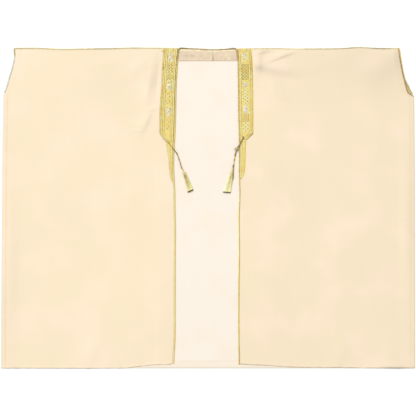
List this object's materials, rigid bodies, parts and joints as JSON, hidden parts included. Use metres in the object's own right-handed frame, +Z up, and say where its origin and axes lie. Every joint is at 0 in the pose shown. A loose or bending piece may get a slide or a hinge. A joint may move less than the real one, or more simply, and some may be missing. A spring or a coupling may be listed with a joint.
{
  "type": "bisht cloak laid flat",
  "caption": "Wide sleeveless open-fronted over-cloak of thin cream cloth with gold neck bands, edge cords and two tassels, laid flat on its back.",
  "frame": {"origin": "under the middle of the laid-out garment, on the surface that it lies on", "axes": "+X to the side that is on the right when the garment is seen from above with its neck away from the viewer, +Y towards the shoulders, +Z up out of the surface"},
  "size_m": [1.8098, 1.405, 0.0136],
  "materials": {
    "cream_cloth": "thin plain-woven cloth, slightly sheer, faint sheen",
    "facing_cloth": "plain-woven neck facing, matt",
    "gold_thread": "couched metallic gold thread and braid",
    "dark_gold_cord": "twisted dark gold cord"
  },
  "bodies": {
    "root": {"back": "cream_cloth", "front_left": "cream_cloth", "front_right": "cream_cloth", "neck_facing_left": "facing_cloth", "neck_facing_right": "facing_cloth", "band_left": "gold_thread", "band_right": "gold_thread", "band_tail_left": "gold_thread", "band_tail_right": "gold_thread", "neck_cord": "dark_gold_cord", "shoulder_cord_left": "gold_thread", "shoulder_cord_right": "gold_thread", "front_cord_left": "gold_thread", "front_cord_right": "gold_thread", "armhole_cord_front_left": "gold_thread", "armhole_cord_front_right": "gold_thread", "armhole_cord_back_left": "gold_thread", "armhole_cord_back_right": "gold_thread", "armhole_braid_right": "gold_thread", "tassel_cord_left": "gold_thread", "tassel_cord_right": "gold_thread", "tassel_left": "gold_thread", "tassel_right": "gold_thread"}
  },
  "joints": []
}
